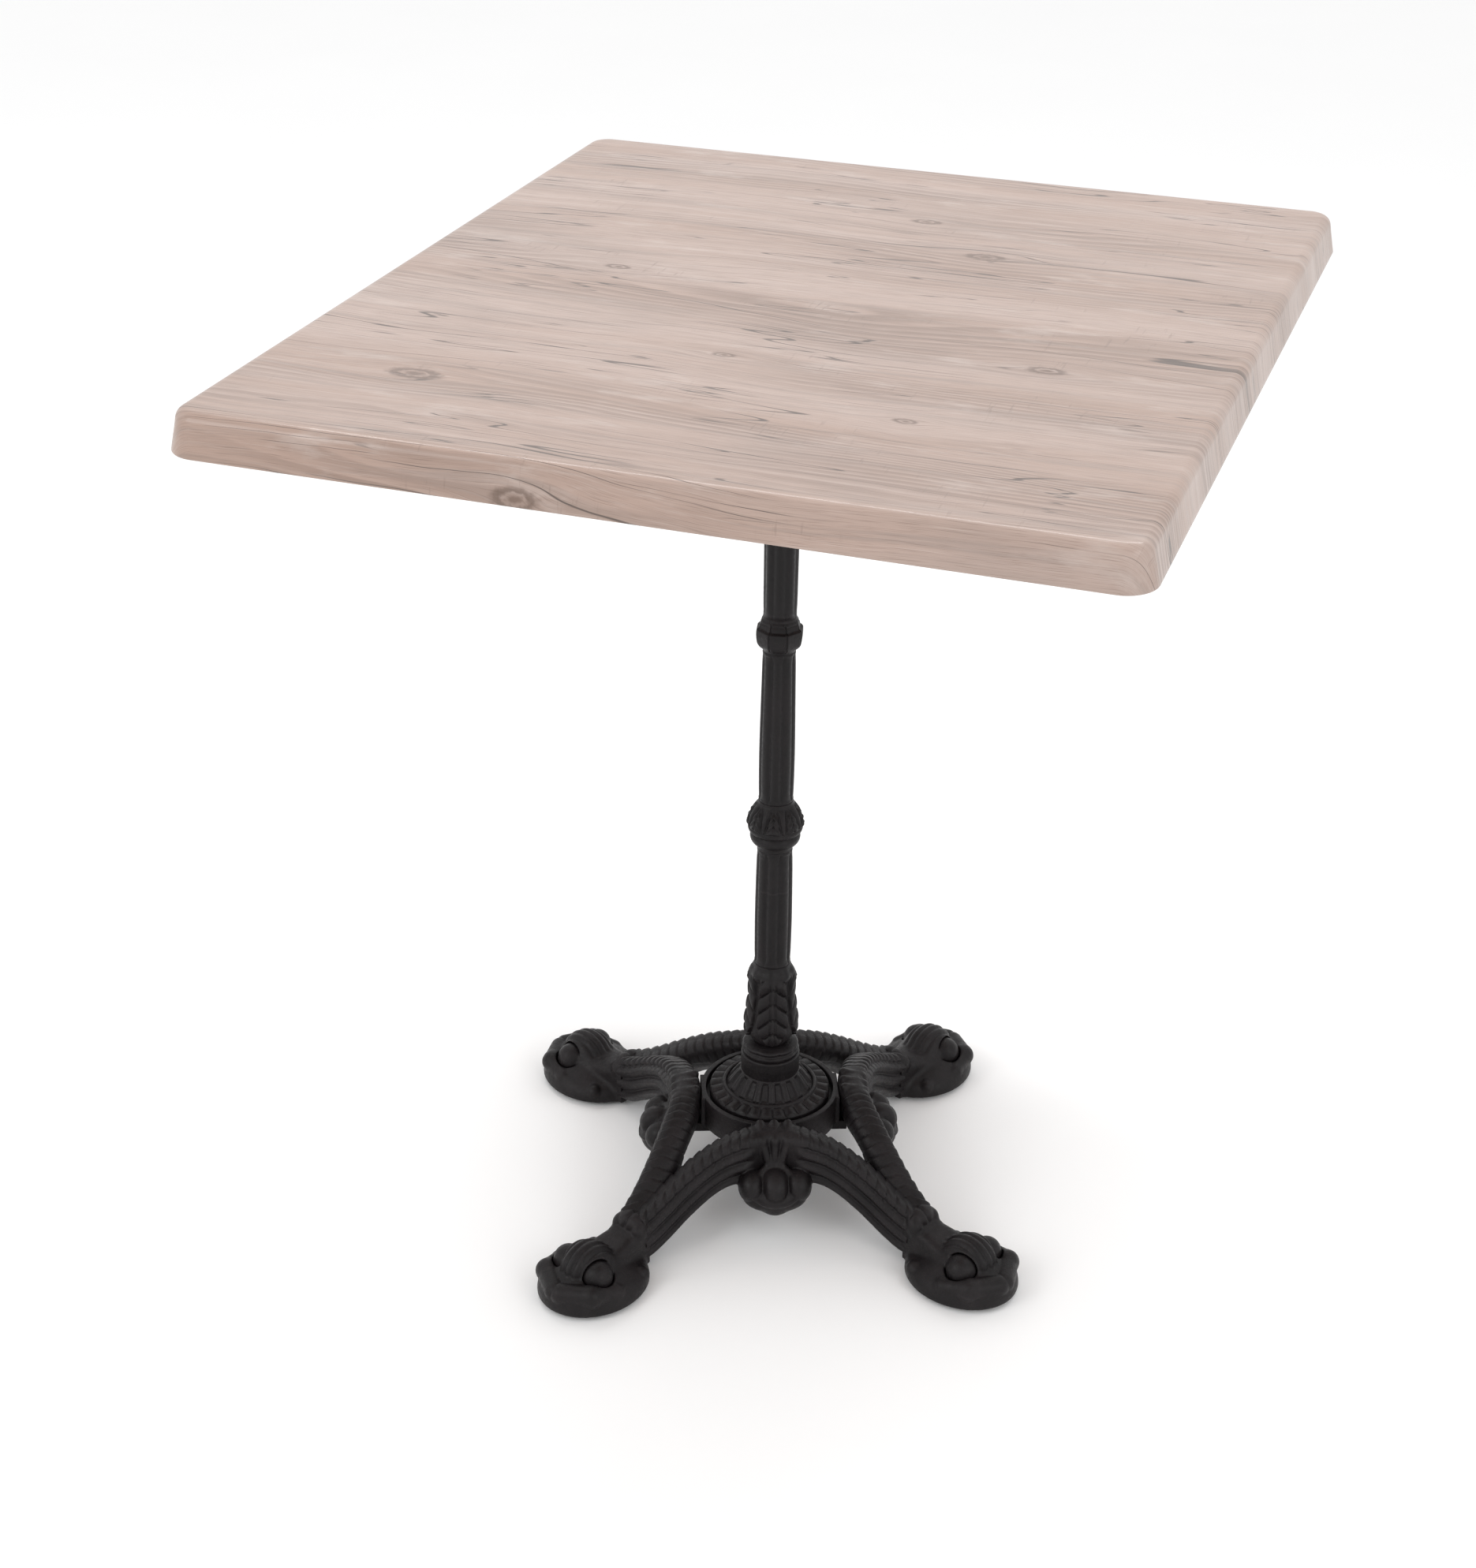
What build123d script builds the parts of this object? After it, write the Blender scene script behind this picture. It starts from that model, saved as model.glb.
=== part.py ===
from build123d import *
import os
from math import sqrt

os.makedirs("parts", exist_ok=True)

# Overall sizes
height = 715.0
top_length_x = 600.0
top_length_y = 700.0
top_edge = 28.0
top_flare = 3.9
top_corner = 21.0
top_roll = 8.0
board_field = 20.0
rim_width = 32.0

# Where the column and its feet stand under the top, and how far the feet are turned
column_x = -17.6
column_y = -8.5
foot_turn = 21.7

# Tie rod and its nuts
rod_r = 5.0
nut_flats = 17.0
nut_h = 8.4
washer_r = 10.0
washer_h = 2.0
rod_bottom = 45.0
rod_top = 693.0

# Column levels, from the hub up
hub_under = 60.0
hub_top = 84.0
hub_r = 53.4
socket_floor = 77.0
socket_r = 49.2
rosette_r = 46.4
cone_top = 102.0
band_top = 118.0
high_collar_top = 485.0
spider_bottom = 663.0
spider_top = height - board_field
tube_top = spider_bottom + 12.0
tube_r = 12.5
tube_inner_r = 9.5
screw_at = 104.0
screw_r = 2.2
screw_depth = 13.0
bore_r = 6.0
flutes = 8
flute_turn = 14.5

# Feet
arch_face = 78.0
arch_inner = hub_r
arch_reach = 120.0
arch_bow_out = 58.0
arch_bow_in = 49.0
bow_power = 1.8
ankle_d = 150.0
paw_d = 194.0
paw_length = 90.0
paw_width = 78.0
paw_under = 3.0
paw_rim = 15.0
lug_h = 8.0
lug_w = 30.0
lug_end = 27.0
lug_length = 42.0
bolt_r = 4.0
bolt_at = 38.0
bolt_flats = 13.0

# Levelling glides
stem_r = 4.0
stem_top = 27.0
stem_bore_r = 4.05
stem_bore_top = 33.0
pad_r = 14.0
pad_h = 5.0

# Everything under the board is drawn about its own upright axis and then stood in place
stand = Location((column_x, column_y, 0), (0, 0, foot_turn))


# Tabletop: a moulded board with a flared edge, a rolled upper rim and a recessed underside
with BuildPart() as tabletop:
    with BuildSketch(Plane.XY.offset(height - top_edge)):
        RectangleRounded(top_length_x, top_length_y, top_corner)
    with BuildSketch(Plane.XY.offset(height)):
        RectangleRounded(top_length_x - 2 * top_flare, top_length_y - 2 * top_flare, top_corner - top_flare)
    loft(ruled=True)
    fillet(tabletop.faces().sort_by(Axis.Z)[-1].edges(), top_roll)
    with BuildSketch(Plane.XY.offset(height - top_edge)):
        RectangleRounded(top_length_x - 2 * rim_width, top_length_y - 2 * rim_width, 14)
    extrude(amount=top_edge - board_field, mode=Mode.SUBTRACT)
    fillet(tabletop.faces().sort_by(Axis.Z)[0].outer_wire().edges(), 1.5)
    with Locations(stand * Location((0, 0, spider_top))):
        with PolarLocations(screw_at, 4):
            Cylinder(screw_r, screw_depth, align=(Align.CENTER, Align.CENTER, Align.MIN), mode=Mode.SUBTRACT)
tabletop.part.label = "tabletop"
export_step(tabletop.part, "parts/tabletop.step")

# Spider: the cast cross that carries the board
with BuildPart() as top_spider:
    with BuildSketch(Plane.XY.offset(spider_top - 7)):
        SlotOverall(230, 30)
        SlotOverall(230, 30, rotation=90)
    extrude(amount=7)
    with BuildSketch(Plane.XY.offset(spider_bottom)):
        Circle(20)
    with BuildSketch(Plane.XY.offset(spider_top - 7)):
        Circle(29)
    loft()
    steps = ((tube_top, spider_top, bore_r), (spider_bottom, tube_top, tube_r), (spider_top - 13, spider_top, 13))
    for low, high, radius in steps:
        with Locations(Plane.XY.offset(low)):
            Cylinder(radius, high - low, align=(Align.CENTER, Align.CENTER, Align.MIN), mode=Mode.SUBTRACT)
    with Locations(Plane.XY.offset(spider_top - 7)):
        with PolarLocations(screw_at, 4):
            Cylinder(screw_r + 0.4, 7, align=(Align.CENTER, Align.CENTER, Align.MIN), mode=Mode.SUBTRACT)
top_spider.part.move(stand)
top_spider.part.label = "top_spider"
export_step(top_spider.part, "parts/top_spider.step")

# Four pan-head wood screws that hold the spider to the board
with BuildPart() as spider_screws:
    with Locations(Plane.XY.offset(spider_top - 7)):
        with PolarLocations(screw_at, 4):
            Cylinder(4.5, 2.6, align=(Align.CENTER, Align.CENTER, Align.MAX))
            Cylinder(screw_r, 7 + screw_depth, align=(Align.CENTER, Align.CENTER, Align.MIN))
spider_screws.part.move(stand)
spider_screws.part.label = "spider_screws"
export_step(spider_screws.part, "parts/spider_screws.step")

# Tie rod with a nut and a washer at each end
with BuildPart() as tie_rod:
    with Locations(Plane.XY.offset(rod_bottom)):
        Cylinder(rod_r, rod_top - rod_bottom, align=(Align.CENTER, Align.CENTER, Align.MIN))
    chamfer(tie_rod.edges().filter_by(GeomType.CIRCLE), 0.8)
tie_rod.part.move(stand)
tie_rod.part.label = "tie_rod"
export_step(tie_rod.part, "parts/tie_rod.step")

with BuildPart() as rod_top_washer:
    with BuildSketch(Plane.XY.offset(spider_top - 13)):
        Circle(washer_r)
        Circle(rod_r + 0.25, mode=Mode.SUBTRACT)
    extrude(amount=washer_h)
rod_top_washer.part.move(stand)
rod_top_washer.part.label = "rod_top_washer"
export_step(rod_top_washer.part, "parts/rod_top_washer.step")

with BuildPart() as rod_top_nut:
    with BuildSketch(Plane.XY.offset(spider_top - 13 + washer_h)):
        RegularPolygon(nut_flats / 2, 6, major_radius=False)
        Circle(rod_r, mode=Mode.SUBTRACT)
    extrude(amount=nut_h)
rod_top_nut.part.move(stand)
rod_top_nut.part.label = "rod_top_nut"
export_step(rod_top_nut.part, "parts/rod_top_nut.step")

with BuildPart() as rod_bottom_washer:
    with BuildSketch(Plane.XY.offset(hub_under - washer_h)):
        Circle(washer_r + 3)
        Circle(rod_r + 0.25, mode=Mode.SUBTRACT)
    extrude(amount=washer_h)
rod_bottom_washer.part.move(stand)
rod_bottom_washer.part.label = "rod_bottom_washer"
export_step(rod_bottom_washer.part, "parts/rod_bottom_washer.step")

with BuildPart() as rod_bottom_nut:
    with BuildSketch(Plane.XY.offset(hub_under - washer_h - nut_h)):
        RegularPolygon(nut_flats / 2, 6, major_radius=False)
        Circle(rod_r, mode=Mode.SUBTRACT)
    extrude(amount=nut_h)
rod_bottom_nut.part.move(stand)
rod_bottom_nut.part.label = "rod_bottom_nut"
export_step(rod_bottom_nut.part, "parts/rod_bottom_nut.step")

# Column: plain and fluted tubes with cast collars between them, all threaded on the tie rod
with BuildPart() as top_tube:
    with BuildSketch(Plane.XY.offset(high_collar_top)):
        Circle(tube_r - 0.8)
        Circle(tube_inner_r, mode=Mode.SUBTRACT)
    with BuildSketch(Plane.XY.offset(tube_top)):
        Circle(tube_r)
        Circle(tube_inner_r, mode=Mode.SUBTRACT)
    loft(ruled=True)
top_tube.part.move(stand)
top_tube.part.label = "top_tube"
export_step(top_tube.part, "parts/top_tube.step")


def turning(points, inner):
    """A closed outline up the axis: the outer profile through (z, r) points, and a plain bore."""
    outer = [(r, z) for z, r in points]
    with BuildSketch(Plane.XZ) as section:
        with BuildLine(Plane.XZ):
            Polyline((inner, points[0][0]), outer[0])
            Spline(*outer)
            Polyline(outer[-1], (inner, points[-1][0]), (inner, points[0][0]))
        make_face()
    return section.sketch


high_collar_profile = (
    (458, 11.7),
    (461, 13.8),
    (464.5, 16.4),
    (470, 17.2),
    (476, 16.8),
    (479.5, 15.6),
    (482.5, 12.8),
    (485, 11.9),
)
mid_collar_profile = (
    (297, 12.9),
    (300, 13.9),
    (302, 16.3),
    (304.5, 18.1),
    (308, 18.7),
    (310.5, 18.6),
    (313, 20.0),
    (318, 21.1),
    (324, 19.9),
    (328, 18.2),
    (332, 15.6),
    (335, 13.4),
    (337, 12.8),
)
high_shaft_profile = (
    (337, 12.5),
    (376, 12.8),
    (434, 12.0),
    (458, 11.6),
)
low_shaft_profile = (
    (198, 13.3),
    (236, 13.7),
    (277, 13.3),
    (297, 12.8),
)
vase_profile = (
    (128, 14.8),
    (130, 16.6),
    (132.5, 18.2),
    (136, 18.9),
    (141, 19.5),
    (147, 19.5),
    (153, 18.8),
    (162, 17.8),
    (171, 16.8),
    (180, 17.2),
    (186, 17.8),
    (191, 16.9),
    (195, 14.8),
    (198, 13.6),
)
neck_profile = (
    (118, 20.8),
    (120.5, 21.8),
    (123.5, 21.6),
    (126, 20.2),
    (128, 17.0),
)


def flute(levels, radius, depth):
    """Shallow round grooves down a shaft, evenly spaced about the axis."""
    low, high = levels
    with Locations(Plane.XY.offset(low)):
        with PolarLocations(radius, flutes, start_angle=flute_turn):
            Cylinder(depth, high - low, align=(Align.CENTER, Align.CENTER, Align.MIN), mode=Mode.SUBTRACT)


with BuildPart() as high_collar:
    add(turning(high_collar_profile, bore_r))
    revolve(axis=Axis.Z)
    flute((459, 484), 18.2, 1.9)
high_collar.part.move(stand)
high_collar.part.label = "high_collar"
export_step(high_collar.part, "parts/high_collar.step")

with BuildPart() as high_shaft:
    add(turning(high_shaft_profile, tube_inner_r))
    revolve(axis=Axis.Z)
    flute((342, 453), 13.8, 1.8)
high_shaft.part.move(stand)
high_shaft.part.label = "high_shaft"
export_step(high_shaft.part, "parts/high_shaft.step")

with BuildPart() as mid_collar:
    add(turning(mid_collar_profile, bore_r))
    revolve(axis=Axis.Z)
    flute((312.5, 336), 21.8, 1.9)
mid_collar.part.move(stand)
mid_collar.part.label = "mid_collar"
export_step(mid_collar.part, "parts/mid_collar.step")

with BuildPart() as low_shaft:
    add(turning(low_shaft_profile, tube_inner_r))
    revolve(axis=Axis.Z)
    flute((203, 292), 14.9, 1.8)
low_shaft.part.move(stand)
low_shaft.part.label = "low_shaft"
export_step(low_shaft.part, "parts/low_shaft.step")

with BuildPart() as leaf_vase:
    add(turning(vase_profile, bore_r))
    revolve(axis=Axis.Z)
    flute((129, 184), 20.6, 1.9)
leaf_vase.part.move(stand)
leaf_vase.part.label = "leaf_vase"
export_step(leaf_vase.part, "parts/leaf_vase.step")

with BuildPart() as neck_ring:
    add(turning(neck_profile, bore_r))
    revolve(axis=Axis.Z)
neck_ring.part.move(stand)
neck_ring.part.label = "neck_ring"
export_step(neck_ring.part, "parts/neck_ring.step")

with BuildPart() as plain_band:
    with BuildSketch(Plane.XY.offset(cone_top)):
        Circle(22.4)
        Circle(bore_r, mode=Mode.SUBTRACT)
    extrude(amount=band_top - cone_top)
    fillet(plain_band.edges().filter_by(GeomType.CIRCLE).group_by(Axis.Z)[-1].sort_by(SortBy.LENGTH)[-1], 1.2)
plain_band.part.move(stand)
plain_band.part.label = "plain_band"
export_step(plain_band.part, "parts/plain_band.step")

# Rosette: fluted cone, raised rim and reeded dish, seated in the hub's socket
with BuildPart() as rosette:
    with BuildSketch(Plane.XZ) as dish:
        with BuildLine(Plane.XZ):
            Polyline(
                (bore_r, socket_floor),
                (rosette_r, socket_floor),
                (rosette_r, 84.6),
                (45.4, 85.8),
                (36.6, 88.0),
                (36.0, 89.4),
                (33.6, 89.4),
                (32.8, 87.6),
                (22.6, cone_top),
                (bore_r, cone_top),
                (bore_r, socket_floor),
            )
        make_face()
    revolve(axis=Axis.Z)
    with Locations(Plane.XY.offset(86.6)):
        with PolarLocations(41, 28):
            Box(9, 1.2, 3, rotation=(0, 14, 0), mode=Mode.SUBTRACT)
    with Locations(Plane.XY.offset(95)):
        with PolarLocations(28.4, 16):
            Cylinder(1.1, 13, rotation=(0, -36, 0), mode=Mode.SUBTRACT)
rosette.part.move(stand)
rosette.part.label = "rosette"
export_step(rosette.part, "parts/rosette.step")

# Hub: a flat disc with a raised outer ring and four flat pads for the arches
with BuildPart() as hub:
    with BuildSketch(Plane.XY.offset(hub_under)):
        Circle(hub_r)
        Rectangle(2 * hub_r, 34)
        Rectangle(34, 2 * hub_r)
    extrude(amount=hub_top - hub_under)
    with Locations(Plane.XY.offset(socket_floor)):
        Cylinder(socket_r, 20, align=(Align.CENTER, Align.CENTER, Align.MIN), mode=Mode.SUBTRACT)
    with Locations(Plane.XY.offset(hub_under)):
        Cylinder(bore_r, 20, align=(Align.CENTER, Align.CENTER, Align.MIN), mode=Mode.SUBTRACT)
        with PolarLocations(bolt_at, 4):
            Cylinder(bolt_r, 10, align=(Align.CENTER, Align.CENTER, Align.MIN), mode=Mode.SUBTRACT)
    fillet(hub.edges().group_by(Axis.Z)[-1], 0.9)
hub.part.move(stand)
hub.part.label = "hub"
export_step(hub.part, "parts/hub.step")


def bow(start, rise, u):
    """How far an arch's face stands out from the column at a distance u along the arch."""
    return start + rise * (abs(u) / arch_reach) ** bow_power


# Distances along an arch where its faces meet the neighbouring arch and the ankle cut
crotch = 75.4
ankle_out = 95.6
ankle_in = ankle_d / sqrt(2)
inner_stations = (-50, -25, 0, 25, 50)
outer_stations = (75, 50, 25, 0, -25, -50, -75)
arch_top = ((0, 90), (20, 88.5), (37, 84.5), (48, 80), (59, 74), (70, 67), (80, 59.5), (94, 49.5), (110, 41))
arch_low = ((0, 46), (24, 47), (37, 45.5), (48, 40), (64, 28), (80, 14), (92, 6), (110, 3))
arch_web = ((0, 60), (24, 60), (44, 59), (58, 52), (70, 36), (84, 12), (92, 2))
rib_stations = (0, 24, 37, 48, 62, 78, 92, 110)
web_depth = 12.0


def both_sides(points):
    """A curve's points mirrored about the arch's middle, from left to right."""
    return [(-u, z) for u, z in reversed(points[1:])] + list(points)


def level(points, u):
    """The height of a broken line at a distance u along the arch."""
    for (u0, z0), (u1, z1) in zip(points, points[1:]):
        if u <= u1:
            return z0 + (z1 - z0) * (u - u0) / (u1 - u0)
    return points[-1][1]


def between(share):
    """The curve a share of the way from the arch's underside to its ridge."""
    return [(u, (1 - share) * level(arch_low, u) + share * level(arch_top, u)) for u in rib_stations]


def face_line(start, rise, shift, stations):
    """Points along a bowed face, seen from above, moved by a shift away from the column."""
    return [(u, -bow(start, rise, u) - shift) for u in stations]


def band(start, rise, outer_shift, inner_shift, stations):
    """An upright bowed band between two shifts of one face."""
    outer = face_line(start, rise, outer_shift, stations)
    inner = face_line(start, rise, inner_shift, stations[::-1])
    with BuildPart() as strip:
        with BuildSketch():
            with BuildLine():
                Spline(*outer)
                Line(outer[-1], inner[0])
                Spline(*inner)
                Line(inner[-1], outer[0])
            make_face()
        extrude(amount=100)
    return strip.part


# One side rib, as long as the arch and standing a little proud of its outer face
def rib_on_face(low_share, high_share):
    with BuildPart() as rib:
        add(band(arch_face, arch_bow_out, 1.8, -4, (-94, -60, -30, 0, 30, 60, 94)))
        with BuildSketch(Plane.XZ.offset(60)):
            with BuildLine():
                Spline(*both_sides(between(low_share)))
                Line((110, between(low_share)[-1][1]), (110, between(high_share)[-1][1]))
                Spline(*reversed(both_sides(between(high_share))))
                Line((-110, between(high_share)[-1][1]), (-110, between(low_share)[-1][1]))
            make_face()
        extrude(amount=70, mode=Mode.INTERSECT)
    return rib.part


ribs = [rib_on_face(0.10, 0.22), rib_on_face(0.40, 0.52), rib_on_face(0.68, 0.78)]

# The arch is hollowed underneath, on the side towards the column
with BuildPart() as hollow:
    add(band(arch_inner, arch_bow_in, web_depth, -12, (-92, -60, -30, 0, 30, 60, 92)))
    with BuildSketch(Plane.XZ.offset(30)):
        with BuildLine():
            Spline(*both_sides(arch_web))
            Polyline(arch_web[-1], (92, -4), (-92, -4), (-92, arch_web[-1][1]))
        make_face()
    extrude(amount=110, mode=Mode.INTERSECT)

# An arch: a tall bowed rib between two ankles, with a bolting lug inside and a bud outside
with BuildPart() as arch:
    with BuildSketch():
        with BuildLine():
            Spline(
                (-crotch, -crotch),
                *face_line(arch_inner, arch_bow_in, 0, inner_stations),
                (crotch, -crotch),
            )
            Polyline((crotch, -crotch), (ankle_in, -ankle_in), (ankle_out, ankle_out - 2 * ankle_in))
            Spline(
                (ankle_out, ankle_out - 2 * ankle_in),
                *face_line(arch_face, arch_bow_out, 0, outer_stations),
                (-ankle_out, ankle_out - 2 * ankle_in),
            )
            Polyline((-ankle_out, ankle_out - 2 * ankle_in), (-ankle_in, -ankle_in), (-crotch, -crotch))
        make_face()
    extrude(amount=100)
    with BuildSketch(Plane.XZ.offset(40)):
        with BuildLine():
            Spline(*both_sides(arch_low))
            Line(arch_low[-1], arch_top[-1])
            Spline(*reversed(both_sides(arch_top)))
            Line((-arch_top[-1][0], arch_top[-1][1]), (-arch_low[-1][0], arch_low[-1][1]))
        make_face()
    extrude(amount=90, mode=Mode.INTERSECT)
    ridge = arch.faces().sort_by(Axis.Z)[-1].edges()
    fillet([edge for edge in ridge if abs(edge.center().X) < 1], 7)
    for rib in ribs:
        add(rib)
    add(hollow.part, mode=Mode.SUBTRACT)
    # Bud: three hanging lobes, the middle one longer and wider
    for x, low, wide in ((-13, 37, 12), (13, 37, 12), (0, 29.5, 16)):
        with Locations((x, -85, low)):
            Cone(wide * 0.45, wide, 12, align=(Align.CENTER, Align.CENTER, Align.MIN))
        with Locations((x, -85, low + 12)):
            Cone(wide, wide * 0.6, 16, align=(Align.CENTER, Align.CENTER, Align.MIN))
    # Lug that reaches in under the hub
    with Locations((0, -lug_end, hub_under - lug_h)):
        Box(lug_w, lug_length, lug_h, align=(Align.CENTER, Align.MAX, Align.MIN))
    with Locations((0, -bolt_at, hub_under - lug_h)):
        Cylinder(bolt_r + 0.3, lug_h, align=(Align.CENTER, Align.CENTER, Align.MIN), mode=Mode.SUBTRACT)

for name, angle in (("front", 0), ("right", 90), ("back", 180), ("left", 270)):
    with BuildPart() as placed_arch:
        add(arch.part, rotation=(0, 0, angle))
    placed_arch.part.move(stand)
    placed_arch.part.label = f"{name}_arch"
    export_step(placed_arch.part, f"parts/{name}_arch.step")

# A paw: a rounded plinth with a ribbed volute on it, drawn with its toe towards -Y
with BuildPart() as paw:
    with BuildSketch(Plane.XY.offset(paw_under)):
        with Locations((0, -paw_d)):
            Ellipse(paw_width / 2, paw_length / 2)
    extrude(amount=paw_rim - paw_under)
    fillet(paw.edges().group_by(Axis.Z)[-1], 8)
    fillet(paw.edges().group_by(Axis.Z)[0], 2)
    with BuildSketch(Plane.XY.offset(paw_rim - 5)):
        with Locations((0, -paw_d - 5)):
            Ellipse(paw_width / 2 - 9, paw_length / 2 - 10)
    extrude(amount=15)
    fillet(paw.edges().group_by(Axis.Z)[-1], 7)
    with BuildSketch(Plane.XZ.offset(ankle_d)):
        with Locations((0, paw_under)):
            Rectangle(28, 37, align=(Align.CENTER, Align.MIN))
    with BuildSketch(Plane.XZ.offset(paw_d - 8)):
        with Locations((0, paw_under)):
            Rectangle(24, 28, align=(Align.CENTER, Align.MIN))
    loft()
    with Locations((0, -paw_d - 6, 24)):
        Sphere(17)
    for x in (-9, -3, 3, 9):
        with Locations(Location((x, -paw_d - 6, 24), (0, 90, 0))):
            Cylinder(sqrt(18**2 - x**2), 3)
    with Locations((-13, -paw_d - 11, 24), (13, -paw_d - 11, 24)):
        Sphere(10)
    with Locations((-20, -paw_d + 27, 11), (20, -paw_d + 27, 11)):
        Sphere(5)
    with BuildSketch(Plane.XY.offset(-20)):
        with Locations((0, -ankle_d)):
            Rectangle(120, 60, align=(Align.CENTER, Align.MIN))
    extrude(amount=90, mode=Mode.SUBTRACT)
    with Locations((0, -paw_d, 0)):
        for radius, deep in ((stem_bore_r, stem_bore_top), (pad_r + 1.5, pad_h + 2.5)):
            Cylinder(radius, deep, align=(Align.CENTER, Align.CENTER, Align.MIN), mode=Mode.SUBTRACT)

for name, angle in (("front_left", -45), ("front_right", 45), ("back_right", 135), ("back_left", 225)):
    with BuildPart() as placed_paw:
        add(paw.part, rotation=(0, 0, angle))
    placed_paw.part.move(stand)
    placed_paw.part.label = f"{name}_paw"
    export_step(placed_paw.part, f"parts/{name}_paw.step")

# Levelling glides: a threaded stem that turns in the paw's bore and a pad that rides on its foot
for name, angle in (("front_left", -45), ("front_right", 45), ("back_right", 135), ("back_left", 225)):
    with BuildPart() as glide_stem:
        with Locations((0, -paw_d, pad_h + 0.1)):
            Cylinder(stem_r, stem_top - pad_h - 0.1, align=(Align.CENTER, Align.CENTER, Align.MIN))
        with Locations((0, -paw_d, 2.0)):
            Cylinder(2.5, 10, align=(Align.CENTER, Align.CENTER, Align.MIN))
    glide_stem.part.move(stand * Location((0, 0, 0), (0, 0, angle)))
    glide_stem.part.label = f"{name}_glide_stem"
    export_step(glide_stem.part, f"parts/{name}_glide_stem.step")

    with BuildPart() as glide_pad:
        with Locations((0, -paw_d, 0)):
            Cylinder(pad_r, pad_h, align=(Align.CENTER, Align.CENTER, Align.MIN))
        chamfer(glide_pad.edges().group_by(Axis.Z)[0], 1)
        with Locations((0, -paw_d, 1.9)):
            Cylinder(2.55, pad_h, align=(Align.CENTER, Align.CENTER, Align.MIN), mode=Mode.SUBTRACT)
    glide_pad.part.move(stand * Location((0, 0, 0), (0, 0, angle)))
    glide_pad.part.label = f"{name}_glide_pad"
    export_step(glide_pad.part, f"parts/{name}_glide_pad.step")

# Hub bolts and their washers, up through the arch lugs
with BuildPart() as hub_washers:
    with BuildSketch(Plane.XY.offset(hub_under - lug_h - 1.6)):
        with PolarLocations(bolt_at, 4):
            Circle(8)
            Circle(bolt_r + 0.3, mode=Mode.SUBTRACT)
    extrude(amount=1.6)
hub_washers.part.move(stand)
hub_washers.part.label = "hub_washers"
export_step(hub_washers.part, "parts/hub_washers.step")

with BuildPart() as hub_bolts:
    with BuildSketch(Plane.XY.offset(hub_under - lug_h - 1.6)):
        with PolarLocations(bolt_at, 4):
            RegularPolygon(bolt_flats / 2, 6, major_radius=False)
    extrude(amount=-5.3)
    with Locations(Plane.XY.offset(hub_under - lug_h - 1.6)):
        with PolarLocations(bolt_at, 4):
            Cylinder(bolt_r, 18, align=(Align.CENTER, Align.CENTER, Align.MIN))
hub_bolts.part.move(stand)
hub_bolts.part.label = "hub_bolts"
export_step(hub_bolts.part, "parts/hub_bolts.step")
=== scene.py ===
import bpy
import math
import numpy as np
from mathutils import Matrix, Vector


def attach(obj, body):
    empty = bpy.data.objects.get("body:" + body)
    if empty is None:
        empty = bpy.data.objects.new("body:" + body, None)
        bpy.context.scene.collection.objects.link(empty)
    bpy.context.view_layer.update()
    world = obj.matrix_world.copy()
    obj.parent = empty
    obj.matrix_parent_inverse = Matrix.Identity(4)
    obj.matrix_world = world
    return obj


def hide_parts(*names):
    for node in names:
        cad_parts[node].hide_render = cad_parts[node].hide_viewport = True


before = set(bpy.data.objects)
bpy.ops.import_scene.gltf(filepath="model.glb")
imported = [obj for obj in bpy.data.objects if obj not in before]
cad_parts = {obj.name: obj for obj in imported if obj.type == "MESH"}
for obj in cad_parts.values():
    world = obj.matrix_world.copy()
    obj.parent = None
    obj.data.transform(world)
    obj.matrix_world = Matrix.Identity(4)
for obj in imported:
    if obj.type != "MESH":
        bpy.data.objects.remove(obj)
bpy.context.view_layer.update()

# Shapes are worked out in millimetres, the column and foot in a frame of their own: arches on the axes,
# paws on the diagonals. STAND turns that frame and moves it to the column's place under the tabletop.
MM = 0.001
TURN = math.radians(21.7)
STAND = Matrix.Translation((-0.0176, -0.0085, 0)) @ Matrix.Rotation(TURN, 4, "Z")
TOP_X, TOP_Y, TOP_Z = 600.0, 700.0, 715.0


# ---------------------------------------------------------------- mesh helpers
def make_object(name, verts, faces, attributes=None):
    """A smooth-shaded mesh object from points in millimetres, with optional point attributes."""
    mesh = bpy.data.meshes.new(name)
    mesh.vertices.add(len(verts))
    mesh.vertices.foreach_set("co", (np.asarray(verts, np.float64) * MM).ravel())
    sizes = np.array([len(f) for f in faces])
    mixed = len(set(sizes)) > 1
    flat = np.concatenate([np.asarray(f) for f in faces]) if mixed else np.asarray(faces).ravel()
    starts = np.concatenate([[0], np.cumsum(sizes)[:-1]])
    mesh.loops.add(len(flat))
    mesh.loops.foreach_set("vertex_index", flat.astype(np.int32))
    mesh.polygons.add(len(sizes))
    mesh.polygons.foreach_set("loop_start", starts.astype(np.int32))
    mesh.polygons.foreach_set("loop_total", sizes.astype(np.int32))
    mesh.polygons.foreach_set("use_smooth", np.full(len(sizes), True))
    mesh.update(calc_edges=True)
    mesh.validate()
    for key, values in (attributes or {}).items():
        layer = mesh.attributes.new(key, "FLOAT_VECTOR", "POINT")
        layer.data.foreach_set("vector", np.asarray(values, np.float32).ravel())
    ob = bpy.data.objects.new(name, mesh)
    bpy.context.scene.collection.objects.link(ob)
    return ob


def settle(ob, node, material, body="table", matrix=None):
    """Puts a piece in place, gives it its finish and hides the CAD node that it stands for."""
    if matrix is not None:
        ob.matrix_world = matrix
    ob.data.materials.clear()
    ob.data.materials.append(material)
    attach(ob, body)
    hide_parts(node)


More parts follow.
